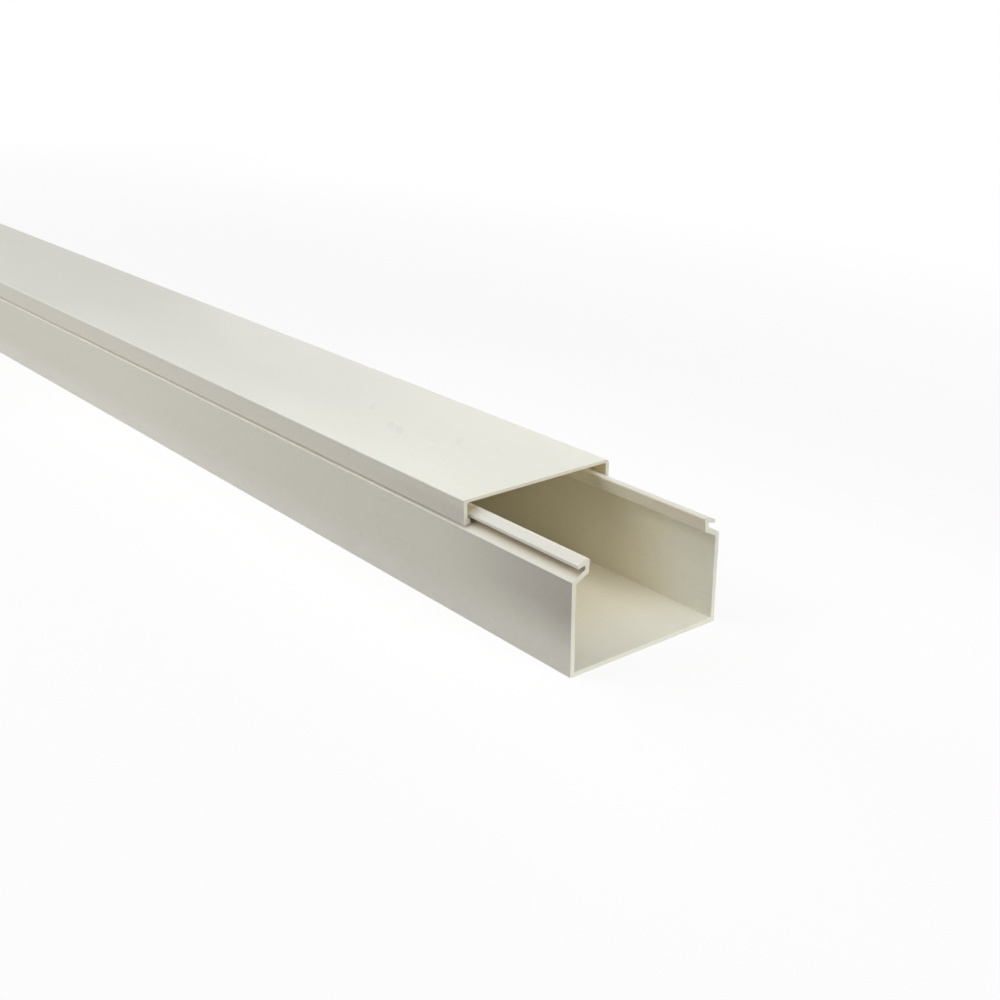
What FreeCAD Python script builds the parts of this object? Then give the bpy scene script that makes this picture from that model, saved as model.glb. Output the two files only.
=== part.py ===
"""Plastic cable trunking, 60 by 40 mm: a snap-hook channel and its separate cover, in one stock length.

Frame: origin at the middle of the channel's underside, +X along the length towards the end where the
channel shows, +Y across, +Z up. Sizes in millimetres, angles in degrees.
"""
import FreeCAD, Part
import os
import Sketcher

# Driving sizes
SIZES = {
    # Overall
    "stock_length": 2000,
    "trunking_width": 60,
    "trunking_height": 40,
    # Channel walls
    "wall_thickness": 1.5,
    "floor_thickness": 1.5,
    "base_edge_round": 0.3,
    # Sloping shoulder between the wall and the neck of the hook
    "shoulder_reveal": 1.2,
    "shoulder_slope": 30,
    "shoulder_inner_slope": 26,
    "left_shoulder_round": 0.3,
    "right_shoulder_round": 1.6,
    # Neck and outward lip of the hook
    "neck_setback": 4.9,
    "neck_foot_thickness": 1.3,
    "neck_top_thickness": 1.7,
    "slot_height": 1.35,
    "slot_round": 0.4,
    "lip_thickness": 1.75,
    "lip_reach": 2.8,
    "lip_top_slope": 25,
    "lip_under_slope": 14,
    "lip_tip_round": 0.2,
    "hook_top_round": 0.6,
    # Cover
    "cover_set_back": 50,
    "cover_overhang": 0.1,
    "cover_thickness": 1.05,
    "cover_depth": 8.4,
    "flange_thickness": 1.35,
    "cover_left_round": 0.45,
    "cover_right_round": 1.5,
    "cover_inner_round": 0.6,
    "flange_edge_round": 0.4,
    # Barb along the foot of each cover flange, and its fit in the slot under the lip
    "snap_engagement": 0.3,
    "seat_clearance": 0.2,
    "lip_clearance": 0.3,
    "barb_top_slope": 10,
    "barb_round": 0.3,
}

doc = FreeCAD.newDocument("CableTrunking")


def make_size_sheet():
    """One row for each driving size: its name, and its value in a cell with that name as alias."""
    sheet = doc.addObject("Spreadsheet::Sheet", "Sizes")
    for row, (name, value) in enumerate(SIZES.items(), start=1):
        sheet.set(f"A{row}", name)
        sheet.set(f"B{row}", str(value))
        sheet.setAlias(f"B{row}", name)
    doc.recompute()
    return sheet


# Places on the half section that more than one outline uses, measured from the middle of the underside
HALF_WIDTH = "Sizes.trunking_width / 2"
WALL_INNER = f"({HALF_WIDTH} - Sizes.wall_thickness)"
NECK_OUTER = f"({HALF_WIDTH} - Sizes.neck_setback)"
NECK_FOOT = f"({NECK_OUTER} - Sizes.neck_foot_thickness)"
NECK_TOP = f"({NECK_OUTER} - Sizes.neck_top_thickness)"
LIP_TIP = f"({NECK_OUTER} + Sizes.lip_reach)"
FLANGE_OUTER = f"({HALF_WIDTH} + Sizes.cover_overhang)"
FLANGE_INNER = f"({FLANGE_OUTER} - Sizes.flange_thickness)"
BARB_TIP = f"({LIP_TIP} - Sizes.snap_engagement)"

FLANGE_FOOT_Z = "(Sizes.trunking_height - Sizes.cover_depth)"
SHOULDER_Z = f"({FLANGE_FOOT_Z} - Sizes.shoulder_reveal)"
SLOT_FLOOR_Z = f"({SHOULDER_Z} + Sizes.neck_setback * tan(Sizes.shoulder_slope))"
LIP_UNDER_Z = f"({SLOT_FLOOR_Z} + Sizes.slot_height)"
LIP_TOP_Z = f"({LIP_UNDER_Z} + Sizes.lip_thickness)"
WALL_INNER_TOP_Z = f"({SHOULDER_Z} - Sizes.wall_thickness * tan(45 - Sizes.shoulder_slope / 2))"
NECK_FOOT_Z = f"({WALL_INNER_TOP_Z} + ({WALL_INNER} - {NECK_FOOT}) * tan(Sizes.shoulder_inner_slope))"
LIP_TIP_TOP_Z = f"({LIP_TOP_Z} - Sizes.lip_reach * tan(Sizes.lip_top_slope))"
LIP_TIP_UNDER_Z = f"({LIP_UNDER_Z} - Sizes.lip_reach * tan(Sizes.lip_under_slope))"
SHOULDER_AT_BARB_Z = f"({SHOULDER_Z} + ({HALF_WIDTH} - {BARB_TIP}) * tan(Sizes.shoulder_slope))"
LIP_AT_BARB_Z = f"({LIP_UNDER_Z} - ({BARB_TIP} - {NECK_OUTER}) * tan(Sizes.lip_under_slope))"
BARB_FOOT_Z = f"({SHOULDER_AT_BARB_Z} + Sizes.seat_clearance)"
BARB_TOP_Z = f"({LIP_AT_BARB_Z} - Sizes.lip_clearance)"
BARB_ROOT_Z = f"({BARB_TOP_Z} + ({FLANGE_INNER} - {BARB_TIP}) * tan(Sizes.barb_top_slope))"
COVER_UNDER_Z = "(Sizes.trunking_height - Sizes.cover_thickness)"

# Sides of the middle plane, as seen from the near end
LEFT_SIDE = (-1,)
RIGHT_SIDE = (1,)
BOTH_SIDES = (-1, 1)

# Half outline of the channel: (across, up) for each corner, None where it lies on that axis
CHANNEL_OUTLINE = {
    "underside_middle": (None, None),
    "base_edge": (HALF_WIDTH, None),
    "shoulder_edge": (HALF_WIDTH, SHOULDER_Z),
    "slot_floor": (NECK_OUTER, SLOT_FLOOR_Z),
    "lip_root": (NECK_OUTER, LIP_UNDER_Z),
    "lip_tip_under": (LIP_TIP, LIP_TIP_UNDER_Z),
    "lip_tip_top": (LIP_TIP, LIP_TIP_TOP_Z),
    "lip_knee": (NECK_OUTER, LIP_TOP_Z),
    "hook_top": (NECK_TOP, LIP_TOP_Z),
    "neck_foot": (NECK_FOOT, NECK_FOOT_Z),
    "wall_inner_top": (WALL_INNER, WALL_INNER_TOP_Z),
    "floor_inner_corner": (WALL_INNER, "Sizes.floor_thickness"),
    "floor_middle": (None, "Sizes.floor_thickness"),
}
# Rounds of the channel's long edges: sides, then corners. The right shoulder has run softer than the left
CHANNEL_ROUNDS = {
    "base_edge_round": (BOTH_SIDES, ["base_edge", "floor_inner_corner"]),
    "left_shoulder_round": (LEFT_SIDE, ["shoulder_edge"]),
    "right_shoulder_round": (RIGHT_SIDE, ["shoulder_edge"]),
    "slot_round": (BOTH_SIDES, ["slot_floor", "neck_foot", "lip_knee"]),
    "lip_tip_round": (BOTH_SIDES, ["lip_tip_under", "lip_tip_top", "lip_root"]),
    "hook_top_round": (BOTH_SIDES, ["hook_top"]),
}

# Half outline of the cover, from the middle of its underside
COVER_OUTLINE = {
    "under_middle": (None, COVER_UNDER_Z),
    "inner_corner": (FLANGE_INNER, COVER_UNDER_Z),
    "barb_root": (FLANGE_INNER, BARB_ROOT_Z),
    "barb_tip_top": (BARB_TIP, BARB_TOP_Z),
    "barb_tip_foot": (BARB_TIP, BARB_FOOT_Z),
    "flange_foot": (FLANGE_OUTER, FLANGE_FOOT_Z),
    "outer_corner": (FLANGE_OUTER, "Sizes.trunking_height"),
    "top_middle": (None, "Sizes.trunking_height"),
}
# Rounds of the cover's long edges: sides, then corners. Its left outer corner is nearly sharp
COVER_ROUNDS = {
    "cover_left_round": (LEFT_SIDE, ["outer_corner"]),
    "cover_right_round": (RIGHT_SIDE, ["outer_corner"]),
    "cover_inner_round": (BOTH_SIDES, ["inner_corner"]),
    "flange_edge_round": (BOTH_SIDES, ["flange_foot"]),
    "barb_round": (BOTH_SIDES, ["barb_root", "barb_tip_top", "barb_tip_foot"]),
}


def origin_plane(body, role):
    """The body's own origin plane with this role."""
    return next(plane for plane in body.Origin.OriginFeatures if plane.Role == role)


def corner_places(body, outline):
    """Where each corner of an outline lies on the section, by name."""
    places = {}
    for name, (across, up) in outline.items():
        y = float(body.evalExpression(across)) if across else 0
        z = float(body.evalExpression(up)) if up else 0
        places[name] = FreeCAD.Vector(y, z, 0)
    return places


def tie_corner(sketch, edge, name, outline, places):
    """Tie the start of an edge to the sizes both ways, or to the section's axis where it has no expression."""
    across, up = outline[name]
    vertical_axis, horizontal_axis = -2, -1
    ties = [("DistanceX", "across", across, places[name].x, vertical_axis),
            ("DistanceY", "up", up, places[name].y, horizontal_axis)]
    for kind, suffix, expression, value, axis in ties:
        if expression is None:
            sketch.addConstraint(Sketcher.Constraint("PointOnObject", edge, 1, axis))
            continue
        index = sketch.addConstraint(Sketcher.Constraint(kind, -1, 1, edge, 1, value))
        sketch.renameConstraint(index, f"{name}_{suffix}")
        sketch.setExpression(f"Constraints.{name}_{suffix}", expression)


def draw_half_section(body, outline, places):
    """Closed sketch across the length, with a straight edge between each two corners."""
    sketch = body.newObject("Sketcher::SketchObject", f"{body.Name}_section")
    sketch.AttachmentSupport = [(origin_plane(body, "YZ_Plane"), "")]
    sketch.MapMode = "FlatFace"
    corners = list(places.values())
    for start, end in zip(corners, corners[1:] + corners[:1]):
        sketch.addGeometry(Part.LineSegment(start, end), False)
    for edge in range(len(corners)):
        next_edge = (edge + 1) % len(corners)
        sketch.addConstraint(Sketcher.Constraint("Coincident", edge, 2, next_edge, 1))
    for edge, name in enumerate(outline):
        tie_corner(sketch, edge, name, outline, places)
    return sketch


def long_edges(shape, sides, places):
    """Names of the edges that run the whole length through these corners, on the given sides of the middle."""
    reach = 1e-4
    found = []
    for number, edge in enumerate(shape.Edges, start=1):
        box = edge.BoundBox
        if box.YLength > reach or box.ZLength > reach:
            continue
        y, z = box.Center.y, box.Center.z
        spots = [(side * place.x, place.y) for side in sides for place in places]
        if any(abs(y - across) < reach and abs(z - up) < reach for across, up in spots):
            found.append(f"Edge{number}")
    return found


def extrude_profile(name, outline, rounds):
    """A length of one profile: its half section run along the stock, mirrored, and its long edges rounded."""
    body = doc.addObject("PartDesign::Body", name)
    body.Label = name
    places = corner_places(body, outline)
    sketch = draw_half_section(body, outline, places)
    doc.recompute()

    half = body.newObject("PartDesign::Pad", f"{name}_half")
    half.Profile = sketch
    half.SideType = "Symmetric"
    half.setExpression("Length", "Sizes.stock_length")
    doc.recompute()

    whole = body.newObject("PartDesign::Mirrored", f"{name}_whole")
    whole.Originals = [half]
    whole.MirrorPlane = (origin_plane(body, "XZ_Plane"), [""])
    body.Tip = whole
    doc.recompute()

    last = whole
    for size_name, (sides, corner_names) in rounds.items():
        edges = long_edges(last.Shape, sides, [places[corner] for corner in corner_names])
        fillet = body.newObject("PartDesign::Fillet", f"{name}_{size_name}")
        fillet.Base = (last, edges)
        fillet.setExpression("Radius", f"Sizes.{size_name}")
        body.Tip = fillet
        doc.recompute()
        last = fillet
    return body


def check_document(bodies):
    """Stop where a feature has failed or a piece is not one sound solid."""
    for item in doc.Objects:
        if "Invalid" in item.State or "Error" in item.State:
            raise RuntimeError(f"{item.Name} failed: {item.State}")
    for body in bodies:
        shape = body.Shape
        if shape.isNull() or not shape.isValid() or len(shape.Solids) != 1:
            raise RuntimeError(f"{body.Label} is not one sound solid")


make_size_sheet()
channel = extrude_profile("trunking_base", CHANNEL_OUTLINE, CHANNEL_ROUNDS)
cover = extrude_profile("snap_cover", COVER_OUTLINE, COVER_ROUNDS)

# The cover is as long as the channel and sits back from its near end
cover.setExpression("Placement.Base.x", "-Sizes.cover_set_back")
doc.recompute()

check_document([channel, cover])
os.makedirs("parts", exist_ok=True)
for piece in (channel, cover):
    piece.Shape.exportStep(f"parts/{piece.Label}.step")
    print(f"{piece.Label}: {piece.Shape.Volume / 1000:.1f} cm3")
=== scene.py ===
"""Looks of a 2 m length of cream plastic cable trunking, 60 by 40 mm: a hooked channel and its loose cover.

The channel and the cover keep their solid shapes and get their finishes here: satin extruded plastic with die
lines, faint mottling, specks and handling marks, and matt saw-cut ends, with painted light and painted shade
in bands of the colour and a painted glow inside the duct. Metres, +X along the length towards the end where
the cover is set back, +Y across, +Z up, origin in the middle of the channel's underside.
"""
import logging
import math
from dataclasses import dataclass
from enum import Enum

import bpy
from mathutils import Euler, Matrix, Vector


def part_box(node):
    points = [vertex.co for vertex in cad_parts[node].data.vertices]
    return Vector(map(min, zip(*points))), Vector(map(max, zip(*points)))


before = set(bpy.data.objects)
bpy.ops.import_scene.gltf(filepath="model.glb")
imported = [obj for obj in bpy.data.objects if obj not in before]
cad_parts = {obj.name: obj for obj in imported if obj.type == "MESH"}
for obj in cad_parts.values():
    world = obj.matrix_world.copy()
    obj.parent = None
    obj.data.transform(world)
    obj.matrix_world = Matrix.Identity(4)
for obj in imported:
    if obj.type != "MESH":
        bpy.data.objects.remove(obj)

LOG = logging.getLogger("trunking")
Colour = tuple[float, float, float]
Place = tuple[float, float, float]
Span = tuple[float, float]
Socket = bpy.types.NodeSocket
MM = 0.001
MICRON = 0.000001
SOFT_EDGE = 0.2 * MM
VIEW_HEADING = math.radians(38.70)
# How much of a sawn face's normal lies along the length
CUT_FACING: Span = (0.6, 0.9)
# Sockets of Blender's Mix node that carry colours
MIX_FIRST = 6
MIX_SECOND = 7
MIX_RESULT = 2
# The two lengths, with their ends at the photographed side and the faces that carry marks
CHANNEL = "trunking_base"
COVER = "snap_cover"
CHANNEL_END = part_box(CHANNEL)[1].x
COVER_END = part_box(COVER)[1].x
COVER_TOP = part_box(COVER)[1].z
WALL_THICKNESS = 1.5 * MM
LEFT_WALL_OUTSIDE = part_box(CHANNEL)[0].y
RIGHT_WALL_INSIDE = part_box(CHANNEL)[1].y - WALL_THICKNESS


class Face(Enum):
    """Which way the face that carries a mark looks."""

    TOP = "top"
    SIDE = "side"


class NodeBoard:
    """Adds shader nodes to one node tree and wires them, so that a finish reads as a list of steps."""

    def __init__(self, tree: bpy.types.NodeTree) -> None:
        """Start on a cleared tree.

        Args:
            tree: the node tree to fill.
        """
        self.tree = tree
        self.tree.nodes.clear()

    def node(self, kind: str, **settings: object) -> bpy.types.Node:
        """Add one node.

        Args:
            kind: the node's type name, such as ShaderNodeMath.
            settings: properties to set on it.

        Returns:
            The new node.
        """
        made = self.tree.nodes.new(kind)
        for name, value in settings.items():
            setattr(made, name, value)
        return made

    def feed(self, value: object, target: Socket) -> None:
        """Wire a socket to a target, or set the target to a plain value.

        Args:
            value: a socket of another node, or a number, vector or colour.
            target: the socket that takes it.
        """
        if isinstance(value, bpy.types.NodeSocket):
            self.tree.links.new(value, target)
        else:
            target.default_value = value

    def math(self, operation: str, first: object, second: object = 0.0, clamp: bool = False) -> Socket:
        """Work one sum on two values.

        Args:
            operation: Blender's name of the sum, such as MULTIPLY.
            first: a socket or number.
            second: a socket or number.
            clamp: keep the result between 0 and 1.

        Returns:
            The result's socket.
        """
        made = self.node("ShaderNodeMath", operation=operation, use_clamp=clamp)
        self.feed(first, made.inputs[0])
        self.feed(second, made.inputs[1])
        return made.outputs[0]

    def place(self, vector: Socket, size: Place, location: Place = (0, 0, 0), turn: float = 0.0) -> Socket:
        """Measure a position from a point in units of a size, turned about Z.

        Args:
            vector: the position.
            size: metres that count as one unit along each axis.
            location: the point to measure from.
            turn: angle about Z in radians.

        Returns:
            The measured position.
        """
        made = self.node("ShaderNodeMapping", vector_type="TEXTURE")
        self.feed(vector, made.inputs["Vector"])
        self.feed(location, made.inputs["Location"])
        self.feed((0.0, 0.0, turn), made.inputs["Rotation"])
        self.feed(size, made.inputs["Scale"])
        return made.outputs[0]

    def noise(self, vector: Socket, detail: float = 2.0, roughness: float = 0.5) -> Socket:
        """Cloudy value about 0.5 that changes over one unit of the given position.

        Args:
            vector: the measured position.
            detail: how many finer layers are added.
            roughness: how strong the finer layers are.

        Returns:
            The value's socket.
        """
        made = self.node("ShaderNodeTexNoise")
        self.feed(vector, made.inputs["Vector"])
        self.feed(1.0, made.inputs["Scale"])
        self.feed(detail, made.inputs["Detail"])
        self.feed(roughness, made.inputs["Roughness"])
        return made.outputs["Fac"]

    def spread(self, value: object, low: float, high: float, to_low: float, to_high: float) -> Socket:
        """Carry a value smoothly from one range to another, held at the ends.

        Args:
            value: a socket or number.
            low: value where the change starts.
            high: value where it ends.
            to_low: result below low.
            to_high: result above high.

        Returns:
            The result's socket.
        """
        made = self.node("ShaderNodeMapRange", interpolation_type="SMOOTHSTEP")
        for name, item in zip(("Value", "From Min", "From Max", "To Min", "To Max"),
                              (value, low, high, to_low, to_high)):
            self.feed(item, made.inputs[name])
        return made.outputs[0]

    def blend(self, share: object, first: object, second: object, how: str = "MIX") -> Socket:
        """Mix two colours.

        Args:
            share: how much of the second colour.
            first: a socket or colour.
            second: a socket or colour.
            how: Blender's name of the way to mix.

        Returns:
            The mixed colour's socket.
        """
        made = self.node("ShaderNodeMix", data_type="RGBA", blend_type=how)
        self.feed(share, made.inputs[0])
        self.feed(first, made.inputs[MIX_FIRST])
        self.feed(second, made.inputs[MIX_SECOND])
        return made.outputs[MIX_RESULT]

    def grey(self, value: Socket) -> Socket:
        """Put the same value on all three channels of a colour.

        Args:
            value: the value's socket.

        Returns:
            The colour's socket.
        """
        made = self.node("ShaderNodeCombineColor")
        for channel in made.inputs:
            self.feed(value, channel)
        return made.outputs[0]


@dataclass(frozen=True)
class HandlingMark:
    """A dull oval mark that a hand or another length left on a flat face.

    Attributes:
        centre: the mark's middle, on the face.
        half_length: half its size along the length.
        half_width: half its size across.
        strength: share of the mark's colour inside it.
        face: which way the marked face looks.
        turn: angle about Z of a mark on the top, in line with the camera's view unless it is given.
        reach: how far off the face the mark still counts.
        fade: from where to where it fades, in units of its half sizes.
    """

    centre: Place
    half_length: float
    half_width: float
    strength: float
    face: Face = Face.TOP
    turn: float = -VIEW_HEADING
    reach: float = 2 * MM
    fade: Span = (0.80, 1.12)

    def mask(self, board: NodeBoard, position: Socket) -> Socket:
        """Strength of the mark at each point.

        Args:
            board: the node tree's board.
            position: object position.

        Returns:
            A socket that is the mark's strength inside it and 0 outside.
        """
        if self.face is Face.TOP:
            size = (self.half_length, self.half_width, self.reach)
            inside = board.place(position, size, self.centre, self.turn)
        else:
            size = (self.half_length, self.reach, self.half_width)
            inside = board.place(position, size, self.centre)
        distance = board.node("ShaderNodeVectorMath", operation="LENGTH")
        board.feed(inside, distance.inputs[0])
        return board.spread(distance.outputs["Value"], *self.fade, self.strength, 0.0)


@dataclass(frozen=True)
class ColourBand:
    """A band of changed colour. Most are painted light or painted shade: paler where light or floor bounce
    falls, darker where shade falls; one gives the cover's sides a warmer cream.

    Attributes:
        colour: what the band turns to.
        share: how much of that colour it has where it is full.
        start_z: height where the band starts.
        full_z: height where it is full, above or below its start.
        start_x: place along the length where the band starts, beyond the far end unless it is given.
        full_x: place where it is full, there too.
        patchiness: how uneven the share is.
        half_width: distance from the middle plane that the band stays within.
        side_fade: distance over which it fades beyond that.
        patch_size: size of one patch.
        patch_range: noise values from the least share to the most.
    """

    colour: Colour
    share: float
    start_z: float
    full_z: float
    start_x: float = -2.0
    full_x: float = -1.5
    patchiness: float = 0.25
    half_width: float = 1.0
    side_fade: float = SOFT_EDGE
    patch_size: Place = (14 * MM, 4 * MM, 4 * MM)
    patch_range: Span = (0.25, 0.75)

    def mask(self, board: NodeBoard, position: Socket) -> Socket:
        """Share of the band's colour at each point, broken up so that it isn't even.

        Args:
            board: the node tree's board.
            position: object position.

        Returns:
            The share's socket.
        """
        parts = board.node("ShaderNodeSeparateXYZ")
        board.feed(position, parts.inputs[0])
        height = board.spread(parts.outputs["Z"], self.start_z, self.full_z, 0.0, self.share)
        length = board.spread(parts.outputs["X"], self.start_x, self.full_x, 0.0, 1.0)
        patches = board.noise(board.place(position, self.patch_size), detail=4.0, roughness=0.6)
        uneven = board.spread(patches, *self.patch_range, 1.0 - self.patchiness, 1.0 + self.patchiness)
        across = board.math("ABSOLUTE", parts.outputs["Y"])
        within = board.spread(across, self.half_width, self.half_width + self.side_fade, 1.0, 0.0)
        share = board.math("MULTIPLY", board.math("MULTIPLY", height, length), within)
        return board.math("MULTIPLY", share, uneven, clamp=True)


@dataclass(frozen=True)
class PaintedGlowZone:
    """The part of the section inside the duct, painted a brighter, deeper cream: a painted glow for light
    that passes through the thin walls and bounces between them.

    Attributes:
        half_width: distance from the middle plane to the zone's side.
        top: height of the zone at its sides.
        rise: how much higher it gets for each metre towards the middle.
        edge: half of the distance over which the mask fades.
    """

    half_width: float
    top: float
    rise: float = 0.0
    edge: float = SOFT_EDGE / 2

    def mask(self, board: NodeBoard, position: Socket) -> Socket:
        """1 inside the zone and 0 outside.

        Args:
            board: the node tree's board.
            position: object position.

        Returns:
            The mask's socket.
        """
        parts = board.node("ShaderNodeSeparateXYZ")
        board.feed(position, parts.inputs[0])
        across = board.math("ABSOLUTE", parts.outputs["Y"])
        within = board.spread(across, self.half_width - self.edge, self.half_width + self.edge, 1.0, 0.0)
        lift = board.math("MULTIPLY", board.math("SUBTRACT", self.half_width, across), self.rise)
        height = board.math("SUBTRACT", parts.outputs["Z"], lift)
        below = board.spread(height, self.top - self.edge, self.top + self.edge, 1.0, 0.0)
        return board.math("MULTIPLY", within, below)


@dataclass(frozen=True)
class Unevenness:
    """Sizes and depths of what makes the plastic's colour and gloss uneven.

    Attributes:
        cloud_size: size of one slow cloud.
        cloud_range: noise values from the main colour to the clouds' colour.
        mottle_size: size of one fleck of the fine mottling.
        mottle_range: noise values from its darkest to its lightest.
        mottle_shade: how dark and how light it gets.
        speck_spacing: size of the cells that may hold a speck.
        speck_rarity: share of the cells that hold none.
        speck_fade: from where to where a speck fades, in cells.
        speck_share: share of the specks' colour in the middle of one.
        wiped_size: size of one wiped patch.
        wiped_range: noise values from the glossiest to the dullest.
        wiped_change: what is added to the roughness at both.
        cut_line_size: size of one line on a sawn face.
        cut_line_range: noise values from the darkest line to the lightest.
        cut_line_shade: how dark and how light the lines get.
        cut_bounce_below: height under which a sawn face gets paler, painted bounce light from the floor.
    """

    cloud_size: Place = (90 * MM, 22 * MM, 22 * MM)
    cloud_range: Span = (0.35, 0.7)
    mottle_size: Place = (2.6 * MM, 1.6 * MM, 1.6 * MM)
    mottle_range: Span = (0.2, 0.8)
    mottle_shade: Span = (0.978, 1.022)
    speck_spacing: Place = (9 * MM, 9 * MM, 9 * MM)
    speck_rarity: float = 0.80
    speck_fade: Span = (0.02, 0.05)
    speck_share: float = 0.32
    wiped_size: Place = (30 * MM, 12 * MM, 12 * MM)
    wiped_range: Span = (0.3, 0.7)
    wiped_change: Span = (-0.02, 0.03)
    cut_line_size: Place = (1.0, 9 * MM, 0.22 * MM)
    cut_line_range: Span = (0.3, 0.7)
    cut_line_shade: Span = (0.965, 1.02)
    cut_bounce_below: float = 26 * MM


@dataclass(frozen=True)
class Relief:
    """Sizes and heights of the fine relief on the skin and on a sawn face.

    Attributes:
        die_size: size of one die line.
        die_height: height of the die lines.
        grain_size: size of one grain of the satin skin.
        grain_height: height of the grain.
        wave_size: size of one slow wave in the skin.
        wave_height: height of the waves.
        saw_size: size of one saw line.
        saw_height: height of the saw lines.
    """

    die_size: Place = (400 * MM, 0.5 * MM, 0.5 * MM)
    die_height: float = 4 * MICRON
    grain_size: Place = (0.35 * MM, 0.35 * MM, 0.35 * MM)
    grain_height: float = 2.5 * MICRON
    wave_size: Place = (45 * MM, 14 * MM, 14 * MM)
    wave_height: float = 10 * MICRON
    saw_size: Place = (1.0, 6 * MM, 0.16 * MM)
    saw_height: float = 22 * MICRON


@dataclass(frozen=True)
class ExtrudedPlastic:
    """Satin rigid plastic, cream all through, with the traces of the die, of handling and of the saw, and
    with painted light and painted shade in its colour.

    Attributes:
        name: the material's name.
        colour: the skin's main colour.
        cloud_colour: the colour of its slow clouds.
        inside_glow_colour: brighter, deeper cream painted inside the duct, a glow for light through the
            walls.
        cut_colour: the colour of a sawn face near the top of the section.
        bounce_lit_cut_colour: the paler colour of a sawn face near its foot, painted bounce light from the
            floor.
        glow_zones: where the painted inside glow is.
        colour_bands: bands of painted light and shade, and the cover's warmer sides, under the inside glow.
        late_colour_bands: bands of painted light and shade that lie over the inside glow.
        speck_colour: the colour of burnt specks.
        mark_colour: the colour of handling marks.
        roughness: how dull the skin is.
        cut_roughness: how dull a sawn face is.
        marks: the handling marks.
        uneven: sizes of the unevenness in colour and gloss.
        relief: sizes of the fine relief.
        ior: the plastic's refractive index.
    """

    name: str
    colour: Colour
    cloud_colour: Colour
    inside_glow_colour: Colour
    cut_colour: Colour
    bounce_lit_cut_colour: Colour
    glow_zones: tuple[PaintedGlowZone, ...]
    colour_bands: tuple[ColourBand, ...]
    late_colour_bands: tuple[ColourBand, ...] = ()
    speck_colour: Colour = (0.30, 0.25, 0.17)
    mark_colour: Colour = (0.64, 0.64, 0.62)
    roughness: float = 0.42
    cut_roughness: float = 0.62
    marks: tuple[HandlingMark, ...] = ()
    uneven: Unevenness = Unevenness()
    relief: Relief = Relief()
    ior: float = 1.53

    def make(self) -> bpy.types.Material:
        """Build the material.

        Returns:
            The finished material.
        """
        material = bpy.data.materials.new(self.name)
        material.use_nodes = True
        board = NodeBoard(material.node_tree)
        source = board.node("ShaderNodeTexCoord")
        position = source.outputs["Object"]
        cut = self.cut_mask(board, source.outputs["Normal"])
        skin = self.skin_colour(board, position)
        colour = board.blend(cut, skin, self.cut_face_colour(board, position))

        shader = board.node("ShaderNodeBsdfPrincipled")
        board.feed(colour, shader.inputs["Base Color"])
        board.feed(self.surface_roughness(board, position, cut), shader.inputs["Roughness"])
        board.feed(self.bumped_normal(board, position, cut), shader.inputs["Normal"])
        shader.inputs["IOR"].default_value = self.ior
        output = board.node("ShaderNodeOutputMaterial")
        board.feed(shader.outputs[0], output.inputs["Surface"])
        return material

    def cut_mask(self, board: NodeBoard, normal: Socket) -> Socket:
        """Tell the faces sawn across the length from the extruded skin.

        Args:
            board: the node tree's board.
            normal: object normal.

        Returns:
            A socket that is 1 on a sawn face and 0 on the skin.
        """
        parts = board.node("ShaderNodeSeparateXYZ")
        board.feed(normal, parts.inputs[0])
        along = board.math("ABSOLUTE", parts.outputs["X"])
        return board.spread(along, *CUT_FACING, 0.0, 1.0)

    def skin_colour(self, board: NodeBoard, position: Socket) -> Socket:
        """Colour of the extruded skin: slow clouds along the length, bands of painted light and shade, the
        painted glow inside the duct, fine mottling, specks and marks.

        Args:
            board: the node tree's board.
            position: object position.

        Returns:
            The colour's socket.
        """
        slow = board.noise(board.place(position, self.uneven.cloud_size), detail=3.0)
        cloud = board.spread(slow, *self.uneven.cloud_range, 0.0, 1.0)
        colour = board.blend(cloud, (*self.colour, 1), (*self.cloud_colour, 1))
        # Bands of painted light and painted shade; one band on the cover gives its sides a warmer cream
        for band in self.colour_bands:
            colour = board.blend(band.mask(board, position), colour, (*band.colour, 1))
        # Painted glow: a brighter, deeper cream inside the duct for light through the walls and between them
        for zone in self.glow_zones:
            colour = board.blend(zone.mask(board, position), colour, (*self.inside_glow_colour, 1))
        # Painted light and painted shade near the duct's mouth, laid over the painted glow
        for band in self.late_colour_bands:
            colour = board.blend(band.mask(board, position), colour, (*band.colour, 1))
        mottle = board.noise(board.place(position, self.uneven.mottle_size), detail=4.0, roughness=0.65)
        shade = board.spread(mottle, *self.uneven.mottle_range, *self.uneven.mottle_shade)
        colour = board.blend(1.0, colour, board.grey(shade), "MULTIPLY")
        colour = board.blend(self.speck_mask(board, position), colour, (*self.speck_colour, 1))
        for mark in self.marks:
            colour = board.blend(mark.mask(board, position), colour, (*self.mark_colour, 1))
        return colour

    def speck_mask(self, board: NodeBoard, position: Socket) -> Socket:
        """Small dark specks of burnt resin, few and far between.

        Args:
            board: the node tree's board.
            position: object position.

        Returns:
            A socket that is above 0 inside a speck.
        """
        cells = board.node("ShaderNodeTexVoronoi")
        board.feed(board.place(position, self.uneven.speck_spacing), cells.inputs["Vector"])
        board.feed(1.0, cells.inputs["Scale"])
        tint = board.node("ShaderNodeSeparateColor")
        board.feed(cells.outputs["Color"], tint.inputs[0])
        rare = board.math("GREATER_THAN", tint.outputs[0], self.uneven.speck_rarity)
        spot = board.spread(cells.outputs["Distance"], *self.uneven.speck_fade, self.uneven.speck_share, 0.0)
        return board.math("MULTIPLY", rare, spot)

    def cut_face_colour(self, board: NodeBoard, position: Socket) -> Socket:
        """Colour of a sawn face: painted bounce light from the floor makes it palest near the foot of the
        section, with fine lines across it.

        Args:
            board: the node tree's board.
            position: object position.

        Returns:
            The colour's socket.
        """
        parts = board.node("ShaderNodeSeparateXYZ")
        board.feed(position, parts.inputs[0])
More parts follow.
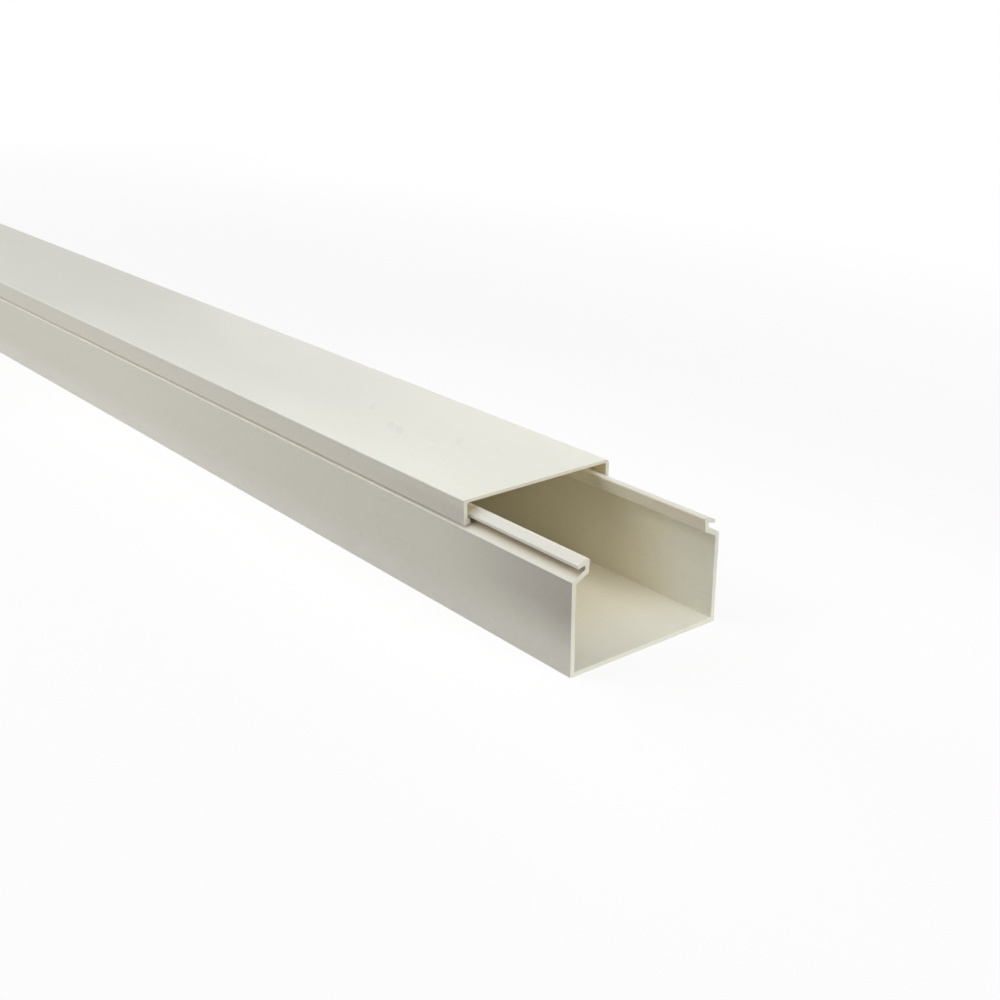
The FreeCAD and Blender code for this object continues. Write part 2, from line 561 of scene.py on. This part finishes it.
        # Painted bounce light: the sawn face gets paler towards its foot
        height = board.spread(parts.outputs["Z"], 0.0, self.uneven.cut_bounce_below, 0.0, 1.0)
        colour = board.blend(height, (*self.bounce_lit_cut_colour, 1), (*self.cut_colour, 1))
        lines = board.noise(board.place(position, self.uneven.cut_line_size), detail=2.0)
        shade = board.spread(lines, *self.uneven.cut_line_range, *self.uneven.cut_line_shade)
        return board.blend(1.0, colour, board.grey(shade), "MULTIPLY")

    def surface_roughness(self, board: NodeBoard, position: Socket, cut: Socket) -> Socket:
        """Satin on the skin with slow wiped patches, matt where sawn.

        Args:
            board: the node tree's board.
            position: object position.
            cut: 1 on a sawn face.

        Returns:
            The roughness socket.
        """
        wiped = board.noise(board.place(position, self.uneven.wiped_size), detail=4.0, roughness=0.6)
        glossier, duller = (self.roughness + change for change in self.uneven.wiped_change)
        satin = board.spread(wiped, *self.uneven.wiped_range, glossier, duller)
        gap = board.math("SUBTRACT", self.cut_roughness, satin)
        return board.math("ADD", satin, board.math("MULTIPLY", gap, cut))

    def bumped_normal(self, board: NodeBoard, position: Socket, cut: Socket) -> Socket:
        """Die lines along the length, a fine satin grain, and saw lines on the ends.

        Args:
            board: the node tree's board.
            position: object position.
            cut: 1 on a sawn face.

        Returns:
            The bumped normal.
        """
        size = self.relief
        die = board.noise(board.place(position, size.die_size), detail=3.0, roughness=0.6)
        grain = board.noise(board.place(position, size.grain_size), detail=2.0)
        wave = board.noise(board.place(position, size.wave_size), detail=1.0)
        saw = board.noise(board.place(position, size.saw_size), detail=2.0)
        fine = board.math("ADD", board.math("MULTIPLY", die, size.die_height),
                          board.math("MULTIPLY", grain, size.grain_height))
        skin = board.math("ADD", fine, board.math("MULTIPLY", wave, size.wave_height))
        sawn = board.math("MULTIPLY", saw, size.saw_height)
        height = board.math("ADD", board.math("MULTIPLY", skin, board.math("SUBTRACT", 1.0, cut)),
                            board.math("MULTIPLY", sawn, cut))
        bump = board.node("ShaderNodeBump")
        board.feed(height, bump.inputs["Height"])
        bump.inputs["Distance"].default_value = 1.0
        bump.inputs["Strength"].default_value = 1.0
        return bump.outputs[0]


@dataclass
class TrunkingLength:
    """One extruded length: a solid from the frame and the finish that covers it.

    Attributes:
        node: the solid's name in the frame.
        finish: what covers it.
    """

    node: str
    finish: ExtrudedPlastic

    def dress(self) -> bpy.types.Object:
        """Put the finish on every material slot of the solid.

        Returns:
            The dressed object.
        """
        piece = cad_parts[self.node]
        material = self.finish.make()
        for number in range(max(1, len(piece.material_slots))):
            if number >= len(piece.data.materials):
                piece.data.materials.append(material)
            piece.material_slots[number].material = material
        low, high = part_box(self.node)
        LOG.info("%s: %.0f mm long, finish %s", self.node, (high.x - low.x) / MM, self.finish.name)
        return piece


@dataclass
class ShopCamera:
    """The camera, at the photograph's place and angle.

    Attributes:
        position: where it stands.
        heading: angle between its view and the length, seen from above.
        pitch: how far down it looks.
        lens: focal length in millimetres.
        sensor: sensor width in millimetres.
    """

    position: Place = (1.2671, -0.2700, 0.1967)
    heading: float = VIEW_HEADING
    pitch: float = math.radians(21.49)
    lens: float = 50.47
    sensor: float = 36.0

    def make(self) -> bpy.types.Object:
        """Add the camera and make it the scene's own.

        Returns:
            The camera object.
        """
        data = bpy.data.cameras.new("photo_camera")
        data.lens = self.lens
        data.sensor_width = self.sensor
        data.clip_start = 10 * MM
        camera = bpy.data.objects.new("photo_camera", data)
        camera.location = self.position
        camera.rotation_euler = Euler((math.radians(90) - self.pitch, 0.0, math.radians(90) - self.heading))
        bpy.context.scene.collection.objects.link(camera)
        bpy.context.scene.camera = camera
        return camera


@dataclass(frozen=True)
class SoftBox:
    """A rectangular studio lamp that looks at a point.

    Attributes:
        name: the lamp's name.
        position: where its middle is.
        target: the point that it looks at.
        width: size of its longer side.
        height: size of its shorter side.
        power: its power in watts.
        spread: how wide its light opens.
    """

    name: str
    position: Place
    target: Place
    width: float
    height: float
    power: float
    spread: float = math.radians(180)

    def make(self) -> bpy.types.Object:
        """Add the lamp.

        Returns:
            The lamp object.
        """
        data = bpy.data.lights.new(self.name, "AREA")
        data.shape = "RECTANGLE"
        data.size = self.width
        data.size_y = self.height
        data.energy = self.power
        data.spread = self.spread
        lamp = bpy.data.objects.new(self.name, data)
        lamp.location = self.position
        aim = Vector(self.target) - Vector(self.position)
        lamp.rotation_euler = aim.to_track_quat("-Z", "Y").to_euler()
        bpy.context.scene.collection.objects.link(lamp)
        return lamp


@dataclass
class Studio:
    """Plain pale floor, white surroundings and soft lamps.

    Attributes:
        floor_size: side of the square floor.
        floor_colour: what the floor sends back onto the object.
        near_glow: share of white that the camera sees on the floor beside the object.
        near_strength: brightness of that white.
        glow_span: distances over which the floor turns plain white.
        ambient: level of the soft light from all sides.
        stock_half_length: half length of the line that those distances are measured from.
        lamps: the soft lamps.
    """

    floor_size: float = 40.0
    floor_colour: Colour = (0.45, 0.45, 0.45)
    near_glow: float = 0.62
    near_strength: float = 1.36
    glow_span: Span = (0.15, 0.9)
    ambient: Colour = (0.12, 0.12, 0.12)
    stock_half_length: float = CHANNEL_END - 50 * MM
    lamps: tuple[SoftBox, ...] = ()

    def floor_distance(self, board: NodeBoard) -> Socket:
        """Distance over the floor from the line that the length lies on.

        Args:
            board: the floor material's board.

        Returns:
            The distance's socket, in metres.
        """
        source = board.node("ShaderNodeTexCoord")
        parts = board.node("ShaderNodeSeparateXYZ")
        board.feed(source.outputs["Object"], parts.inputs[0])
        past_end = board.math("SUBTRACT", board.math("ABSOLUTE", parts.outputs["X"]), self.stock_half_length)
        beyond = board.math("MAXIMUM", past_end, 0.0)
        squares = board.math("ADD", board.math("POWER", beyond, 2.0),
                             board.math("POWER", board.math("ABSOLUTE", parts.outputs["Y"]), 2.0))
        return board.math("SQRT", squares)

    def make_floor(self) -> bpy.types.Object:
        """Level floor under the channel, white to the camera but for the soft shadow near the object.

        Returns:
            The floor object.
        """
        bpy.ops.object.select_all(action="DESELECT")
        bpy.ops.mesh.primitive_plane_add(size=self.floor_size, location=(0, 0, 0))
        floor = bpy.context.active_object
        floor.name = "floor"
        material = bpy.data.materials.new("floor_paper")
        material.use_nodes = True
        board = NodeBoard(material.node_tree)
        paper = board.node("ShaderNodeBsdfDiffuse")
        paper.inputs["Color"].default_value = (*self.floor_colour, 1)
        distance = self.floor_distance(board)
        glow = board.node("ShaderNodeEmission")
        board.feed(board.spread(distance, *self.glow_span, self.near_strength, 1.0), glow.inputs["Strength"])
        path = board.node("ShaderNodeLightPath")
        seen = board.math("ADD", path.outputs["Is Camera Ray"], path.outputs["Is Glossy Ray"], clamp=True)
        white = board.spread(distance, *self.glow_span, self.near_glow, 1.0)
        share = board.math("MULTIPLY", seen, white)
        mix = board.node("ShaderNodeMixShader")
        board.feed(share, mix.inputs[0])
        board.feed(paper.outputs[0], mix.inputs[1])
        board.feed(glow.outputs[0], mix.inputs[2])
        output = board.node("ShaderNodeOutputMaterial")
        board.feed(mix.outputs[0], output.inputs["Surface"])
        floor.data.materials.append(material)
        return floor

    def make_surroundings(self) -> None:
        """Make a world that is white to the camera and in reflections, and a soft light elsewhere."""
        world = bpy.data.worlds.new("white_room")
        bpy.context.scene.world = world
        world.use_nodes = True
        board = NodeBoard(world.node_tree)
        white = board.node("ShaderNodeBackground")
        soft = board.node("ShaderNodeBackground")
        soft.inputs["Color"].default_value = (*self.ambient, 1)
        path = board.node("ShaderNodeLightPath")
        seen = board.math("ADD", path.outputs["Is Camera Ray"], path.outputs["Is Glossy Ray"], clamp=True)
        seen = board.math("ADD", seen, path.outputs["Is Transmission Ray"], clamp=True)
        white.inputs["Color"].default_value = (1, 1, 1, 1)
        mix = board.node("ShaderNodeMixShader")
        board.feed(seen, mix.inputs[0])
        board.feed(soft.outputs[0], mix.inputs[1])
        board.feed(white.outputs[0], mix.inputs[2])
        output = board.node("ShaderNodeOutputWorld")
        board.feed(mix.outputs[0], output.inputs["Surface"])

    def make(self) -> None:
        """Make the floor, the surroundings and the lamps, and set the plain colour view."""
        self.make_floor()
        self.make_surroundings()
        for lamp in self.lamps:
            lamp.make()
            LOG.info("lamp %s: %.3f W", lamp.name, lamp.power)
        bpy.context.scene.view_settings.view_transform = "Standard"


SHOWN_END: Place = (CHANNEL_END - 80 * MM, 0.0, 20 * MM)
FAR_HALF: Place = (-0.60, 0.0, 20 * MM)
NARROW = math.radians(45)
BROAD = math.radians(90)
LAMPS = (
    SoftBox("front", (1.45, -0.02, 0.25), SHOWN_END, 0.30, 0.25, 0.24),
    SoftBox("front_low", (2.2, 0.1, 0.35), SHOWN_END, 0.6, 0.4, 7.6),
    SoftBox("over", (1.05, 0.0, 0.50), SHOWN_END, 0.35, 0.35, 0.57),
    SoftBox("left_back", (0.50, -0.42, 0.60), SHOWN_END, 0.70, 0.60, 2.9),
    SoftBox("left_low", (0.60, -0.55, 0.25), SHOWN_END, 0.35, 0.25, 0.40),
    SoftBox("back_sheen", (0.15, 0.6, 0.35), SHOWN_END, 0.6, 0.4, 0.65),
    SoftBox("strip_left", (0.87, -0.05, 0.16), (0.87, -0.05, 0.0), 0.45, 0.03, 0.009, NARROW),
    SoftBox("strip_right", (0.90, 0.09, 0.30), (0.90, 0.09, 0.0), 0.40, 0.06, 0.024, NARROW),
    SoftBox("far_over", (-0.60, 0.0, 1.0), FAR_HALF, 0.9, 0.9, 2.0, BROAD),
    SoftBox("far_left", (-0.70, -1.0, 0.5), FAR_HALF, 0.8, 0.6, 1.2, BROAD),
    SoftBox("far_right", (-0.50, 1.0, 0.5), FAR_HALF, 0.8, 0.6, 1.2, BROAD),
    SoftBox("beyond_far_end", (-2.4, 0.0, 1.1), (-2.2, 0.0, 0.02), 1.2, 0.8, 4.0, BROAD),
    SoftBox("far_end", (-2.2, -0.1, 0.4), (-0.95, 0.0, 0.02), 0.6, 0.4, 2.4, BROAD),
)


def on_cover(back: float, across: float) -> Place:
    """Place on the cover's top, in millimetres back from its shown end and across from its middle."""
    return (COVER_END - back * MM, across * MM, COVER_TOP)


def on_wall(face: float, back: float, up: float) -> Place:
    """Place on a wall's face, in millimetres back from the channel's shown end and up from its foot."""
    return (CHANNEL_END - back * MM, face, up * MM)


COVER_MARKS = (
    HandlingMark(on_cover(96.4, 1.4), 4.0 * MM, 1.2 * MM, 0.26),
    HandlingMark(on_cover(74.5, -6.0), 4.4 * MM, 1.4 * MM, 0.24),
    HandlingMark(on_cover(71.0, -6.3), 4.4 * MM, 1.4 * MM, 0.12),
    HandlingMark(on_cover(67.6, -6.6), 4.4 * MM, 1.4 * MM, 0.24),
    HandlingMark(on_cover(65.2, 7.7), 3.2 * MM, 1.2 * MM, 0.10),
    HandlingMark(on_cover(44.5, 1.6), 4.0 * MM, 1.3 * MM, 0.16),
    HandlingMark(on_cover(44.2, -9.6), 2.0 * MM, 3.2 * MM, 0.08),
)
CHANNEL_MARKS = (
    HandlingMark(on_wall(LEFT_WALL_OUTSIDE, 97.8, 20.1), 1.6 * MM, 0.8 * MM, 0.20, Face.SIDE),
    HandlingMark(on_wall(LEFT_WALL_OUTSIDE, 85.7, 15.4), 1.8 * MM, 0.7 * MM, 0.18, Face.SIDE),
    HandlingMark(on_wall(LEFT_WALL_OUTSIDE, 93.3, 26.9), 1.4 * MM, 0.6 * MM, 0.16, Face.SIDE),
    HandlingMark(on_wall(LEFT_WALL_OUTSIDE, 35.4, 24.0), 1.2 * MM, 0.6 * MM, 0.14, Face.SIDE),
    HandlingMark(on_wall(LEFT_WALL_OUTSIDE, 9.1, 29.0), 0.9 * MM, 0.5 * MM, 0.22, Face.SIDE),
    HandlingMark(on_wall(RIGHT_WALL_INSIDE, 28.5, 11.4), 0.7 * MM, 0.35 * MM, 0.20, Face.SIDE),
)
CREAM: Colour = (0.820, 0.790, 0.680)
CREAM_CLOUD: Colour = (0.812, 0.778, 0.664)
COVER_CREAM: Colour = (0.762, 0.760, 0.690)
COVER_CLOUD: Colour = (0.756, 0.752, 0.680)
# Painted glow: brighter, deeper creams inside the duct and under the cover, for light through the walls
CREAM_INSIDE_PAINTED_GLOW: Colour = (0.925, 0.872, 0.706)
COVER_INSIDE_PAINTED_GLOW: Colour = (0.950, 0.860, 0.560)
CREAM_CUT: Colour = (0.800, 0.788, 0.655)
# Painted bounce light: paler colour of a sawn face at its foot
CREAM_CUT_PAINTED_BOUNCE: Colour = (0.940, 0.932, 0.790)
COVER_CUT: Colour = (0.738, 0.706, 0.588)
# Painted bounce light: paler colour at the foot of the walls
FOOT_PAINTED_BOUNCE: Colour = (0.895, 0.875, 0.785)
# Painted shade: grey that darkens the upper walls and lips near the shown end, and the cover's sides near its
# end
PAINTED_SHADE_GREY: Colour = (0.520, 0.485, 0.430)
# Painted shade: a brown tint on the upper walls at the shown end
PAINTED_SHADE_BROWN: Colour = (0.280, 0.200, 0.110)
# Painted shadow: dark brown in the slot under each lip
SLOT_PAINTED_SHADOW: Colour = (0.620, 0.530, 0.360)
# Painted light: paler, less yellow colour inside the duct's mouth, where light comes in at the open end
MOUTH_PAINTED_LIGHT: Colour = (0.892, 0.881, 0.775)
# Painted light: paler colour on the shoulders, the lips and the strip under the cover's sides
EDGE_PAINTED_LIGHT: Colour = (0.945, 0.930, 0.835)
# Warmer cream of the cover's sides and underside
FLANGE_CREAM: Colour = (0.795, 0.758, 0.655)
# Painted light: paler top of the cover towards its shown end
COVER_FRONT_PAINTED_LIGHT: Colour = (0.872, 0.874, 0.765)
# Where the painted glow lies: inside the channel, and under the cover
CHANNEL_GLOW_ZONES = (
    PaintedGlowZone(28.7 * MM, 30.1 * MM, 0.53),
    PaintedGlowZone(24.0 * MM, 36.4 * MM),
)
COVER_GLOW_ZONES = (PaintedGlowZone(28.9 * MM, 39.1 * MM),)
EVEN = 0.05
# Painted light and painted shade on the channel's skin
CHANNEL_PAINTED_LIGHT_AND_SHADE = (
    # Painted bounce light: paler towards the foot of the walls, along the whole length
    ColourBand(FOOT_PAINTED_BOUNCE, 0.90, 14 * MM, 1 * MM),
    # Painted shade: darker towards the top of the walls near the shown end
    ColourBand(PAINTED_SHADE_GREY, 0.84, 6 * MM, 23 * MM, CHANNEL_END - 70 * MM, CHANNEL_END, EVEN),
    # Painted shade: browner towards the top of the walls at the shown end
    ColourBand(PAINTED_SHADE_BROWN, 0.07, 6 * MM, 20 * MM, CHANNEL_END - 16 * MM, CHANNEL_END, EVEN),
    # Painted light: paler above the shoulders' outer edge, and on the lips' front faces
    ColourBand(EDGE_PAINTED_LIGHT, 0.90, 30.1 * MM, 30.5 * MM, patchiness=EVEN),
    ColourBand(EDGE_PAINTED_LIGHT, 0.95, 34.0 * MM, 34.6 * MM, patchiness=EVEN),
    # Painted shadow: darker brown in the slot under each lip
    ColourBand(
        SLOT_PAINTED_SHADOW, 0.95, 34.3 * MM, 33.9 * MM,
        patchiness=EVEN, half_width=26.6 * MM, side_fade=2.8 * MM,
    ),
)
# Painted light inside the duct's mouth, and painted shade above the shoulders near the shown end
MOUTH_PAINTED_LIGHT_AND_SHADE = (
    # Painted light: paler, less yellow inside the mouth of the duct
    ColourBand(
        MOUTH_PAINTED_LIGHT, 0.90, 31 * MM, 29 * MM, CHANNEL_END - 34 * MM, CHANNEL_END - 8 * MM,
        patchiness=EVEN, half_width=28.8 * MM,
    ),
    # Painted shade: darker above the shoulders' outer edge near the shown end, lips included
    ColourBand(PAINTED_SHADE_GREY, 0.24, 30.0 * MM, 30.6 * MM, CHANNEL_END - 56 * MM, CHANNEL_END - 46 * MM, EVEN),
)
# Painted light and painted shade on the cover, and the warmer cream of its sides
COVER_TONE_AND_PAINTED_LIGHT_AND_SHADE = (
    # Painted light: paler top towards the shown end
    ColourBand(COVER_FRONT_PAINTED_LIGHT, 0.95, 39.5 * MM, 39.8 * MM, COVER_END - 170 * MM, COVER_END - 10 * MM, EVEN),
    # Warmer cream on the cover's sides and underside
    ColourBand(FLANGE_CREAM, 1.0, 39.7 * MM, 39.0 * MM, patchiness=EVEN),
    # Painted shade: darker lower sides of the cover near its shown end
    ColourBand(PAINTED_SHADE_GREY, 0.25, 38.5 * MM, 35 * MM, COVER_END - 70 * MM, COVER_END, EVEN),
)


def main() -> None:
    """Dress the two lengths, set the camera and light the scene."""
    logging.basicConfig(level=logging.INFO, format="%(name)s: %(message)s")
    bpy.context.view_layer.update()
    channel_finish = ExtrudedPlastic(
        name="channel_plastic",
        colour=CREAM,
        cloud_colour=CREAM_CLOUD,
        inside_glow_colour=CREAM_INSIDE_PAINTED_GLOW,
        cut_colour=CREAM_CUT,
        bounce_lit_cut_colour=CREAM_CUT_PAINTED_BOUNCE,
        glow_zones=CHANNEL_GLOW_ZONES,
        colour_bands=CHANNEL_PAINTED_LIGHT_AND_SHADE,
        late_colour_bands=MOUTH_PAINTED_LIGHT_AND_SHADE,
        marks=CHANNEL_MARKS,
    )
    cover_finish = ExtrudedPlastic(
        name="cover_plastic_satin",
        colour=COVER_CREAM,
        cloud_colour=COVER_CLOUD,
        inside_glow_colour=COVER_INSIDE_PAINTED_GLOW,
        cut_colour=COVER_CUT,
        bounce_lit_cut_colour=COVER_CUT,
        glow_zones=COVER_GLOW_ZONES,
        colour_bands=COVER_TONE_AND_PAINTED_LIGHT_AND_SHADE,
        marks=COVER_MARKS,
    )
    TrunkingLength(CHANNEL, channel_finish).dress()
    TrunkingLength(COVER, cover_finish).dress()
    ShopCamera().make()
    Studio(lamps=LAMPS).make()


if __name__ == "__main__":
    main()
